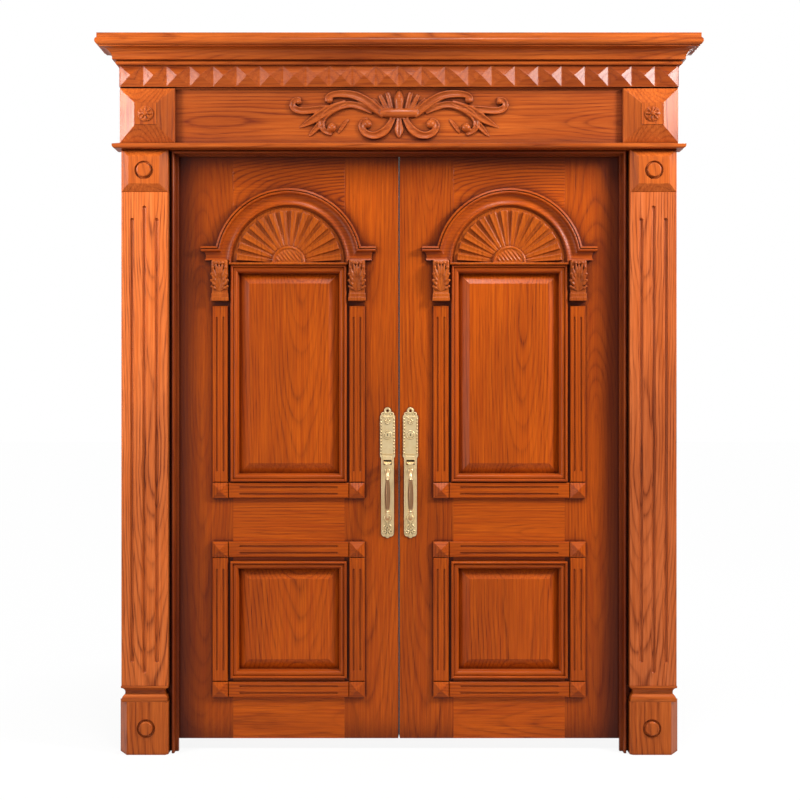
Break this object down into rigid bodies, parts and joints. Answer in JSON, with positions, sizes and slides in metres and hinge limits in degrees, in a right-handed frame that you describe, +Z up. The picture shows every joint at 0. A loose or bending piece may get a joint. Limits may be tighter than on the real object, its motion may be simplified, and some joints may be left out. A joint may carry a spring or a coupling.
{
  "type": "double entrance door",
  "caption": "Carved wooden double-leaf entrance door in its frame, with fluted pilasters, carved frieze, moulded crown, arched sunburst panels and long brass handle sets.",
  "frame": {"origin": "on the floor, on the door's centre line, at half of its depth", "axes": "+X to the right seen from the street, +Y from the street to the inside, +Z up"},
  "size_m": [2.036, 0.235, 2.436],
  "materials": {
    "stained_wood": "satin lacquer over a red-brown stain",
    "brass": "polished, slightly aged",
    "hinge_brass": "satin"
  },
  "bodies": {
    "frame": {"head_jamb": "stained_wood", "necking_moulding": "stained_wood", "frieze_board": "stained_wood", "frieze_bosses": "stained_wood", "frieze_carving": "stained_wood", "pyramid_band": "stained_wood", "crown_core": "stained_wood", "crown_moulding": "stained_wood", "crown_top_board": "stained_wood", "hinge_frame_halves": "hinge_brass", "left_jamb": "stained_wood", "left_plinth": "stained_wood", "left_plinth_cap": "stained_wood", "left_pilaster": "stained_wood", "left_capital": "stained_wood", "left_frieze_block": "stained_wood", "right_jamb": "stained_wood", "right_plinth": "stained_wood", "right_plinth_cap": "stained_wood", "right_pilaster": "stained_wood", "right_capital": "stained_wood", "right_frieze_block": "stained_wood"},
    "left_leaf": {"left_hinge_stile": "stained_wood", "left_meeting_stile": "stained_wood", "left_top_rail": "stained_wood", "left_lock_rail": "stained_wood", "left_bottom_rail": "stained_wood", "left_panels": "stained_wood", "left_panel_mouldings": "stained_wood", "left_surrounds": "stained_wood", "left_arch_moulding": "stained_wood", "left_sunburst": "stained_wood", "left_corbels": "stained_wood", "left_hinge_leaf_halves": "hinge_brass", "left_lock_case": "hinge_brass", "left_handle_plate": "brass", "left_grip": "brass", "left_inner_plate": "brass"},
    "left_thumb_piece": {"left_thumb_piece": "brass"},
    "left_inner_lever": {"left_inner_lever": "brass"},
    "right_leaf": {"right_hinge_stile": "stained_wood", "right_meeting_stile": "stained_wood", "right_top_rail": "stained_wood", "right_lock_rail": "stained_wood", "right_bottom_rail": "stained_wood", "right_panels": "stained_wood", "right_panel_mouldings": "stained_wood", "right_surrounds": "stained_wood", "right_arch_moulding": "stained_wood", "right_sunburst": "stained_wood", "right_corbels": "stained_wood", "right_hinge_leaf_halves": "hinge_brass", "right_lock_case": "hinge_brass", "right_handle_plate": "brass", "right_grip": "brass", "right_inner_plate": "brass", "right_latch_bolt": "hinge_brass", "right_dead_bolt": "hinge_brass"},
    "right_thumb_piece": {"right_thumb_piece": "brass"},
    "right_inner_lever": {"right_inner_lever": "brass"}
  },
  "joints": [
    {"name": "left_leaf_swing", "type": "hinge", "parent": "frame", "child": "left_leaf", "pos_m": [-0.7685, 0.074, 1.05], "axis": [0, 0, 1], "range_deg": [0, 110]},
    {"name": "left_thumb_press", "type": "hinge", "parent": "left_leaf", "child": "left_thumb_piece", "pos_m": [-0.0395, 0.0225, 0.992], "axis": [1, 0, 0], "range_deg": [0, 15]},
    {"name": "left_lever_turn", "type": "hinge", "parent": "left_leaf", "child": "left_inner_lever", "pos_m": [-0.0395, 0.0755, 0.992], "axis": [0, -1, 0], "range_deg": [0, 40]},
    {"name": "right_leaf_swing", "type": "hinge", "parent": "frame", "child": "right_leaf", "pos_m": [0.7685, 0.074, 1.05], "axis": [0, 0, -1], "range_deg": [0, 110]},
    {"name": "right_thumb_press", "type": "hinge", "parent": "right_leaf", "child": "right_thumb_piece", "pos_m": [0.0395, 0.0225, 0.992], "axis": [1, 0, 0], "range_deg": [0, 15]},
    {"name": "right_lever_turn", "type": "hinge", "parent": "right_leaf", "child": "right_inner_lever", "pos_m": [0.0395, 0.0755, 0.992], "axis": [0, 1, 0], "range_deg": [0, 40]}
  ]
}
